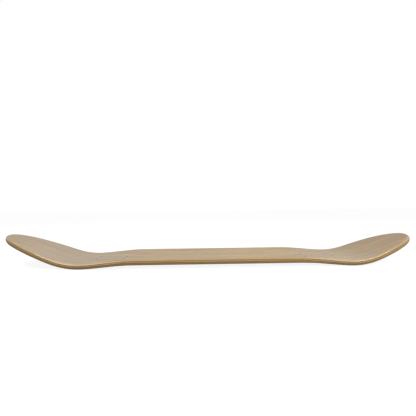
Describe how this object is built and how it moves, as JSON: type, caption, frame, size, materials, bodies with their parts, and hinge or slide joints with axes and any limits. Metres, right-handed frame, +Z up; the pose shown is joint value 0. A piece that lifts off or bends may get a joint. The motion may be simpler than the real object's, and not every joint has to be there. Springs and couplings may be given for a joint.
{
  "type": "skateboard deck",
  "caption": "Skateboard deck of pressed cross-laminated maple veneers, with kicked nose and tail, faded concave and drilled truck bolt patterns.",
  "frame": {"origin": "half way between the nose tip and the tail tip on the centre line, on the plane that the flat strip of the underside rests on", "axes": "+X towards the tail, +Y towards the left-hand rail when looking from the nose to the tail with the top face up, +Z up out of the top face"},
  "size_m": [0.8064, 0.2032, 0.0604],
  "materials": {
    "top_face_maple": "clear satin lacquer over lengthwise maple grain",
    "core_maple": "sealed routed edge, lengthwise maple grain",
    "cross_maple": "sealed routed edge, crosswise maple end grain",
    "bottom_face_maple": "clear satin lacquer over lengthwise maple grain"
  },
  "bodies": {
    "root": {"top_face_veneer": "top_face_maple", "upper_core_veneer": "core_maple", "upper_cross_veneer": "cross_maple", "middle_core_veneer": "core_maple", "lower_cross_veneer": "cross_maple", "lower_core_veneer": "core_maple", "bottom_face_veneer": "bottom_face_maple"}
  },
  "joints": []
}
